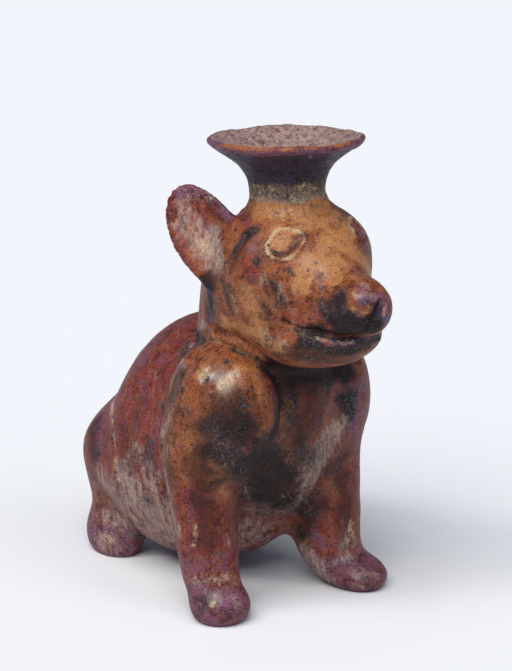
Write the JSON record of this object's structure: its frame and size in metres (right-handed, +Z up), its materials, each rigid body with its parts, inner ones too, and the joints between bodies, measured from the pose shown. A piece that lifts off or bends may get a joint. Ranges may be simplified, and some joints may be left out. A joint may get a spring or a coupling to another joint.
{
  "type": "colima dog figure",
  "caption": "Hollow burnished fired-clay jar in the form of a fat standing dog, with a flared pouring spout on its head.",
  "frame": {"origin": "on the floor, at the middle of the figure's length and width", "axes": "+Z up towards the spout's lip, -Y towards the dog's nose, +X towards the dog's left side"},
  "size_m": [0.138, 0.2362, 0.28],
  "materials": {
    "burnished_clay": "mottled red and orange slip, burnished to a low sheen, worn and stained"
  },
  "bodies": {
    "root": {"dog_jar": "burnished_clay"}
  },
  "joints": []
}
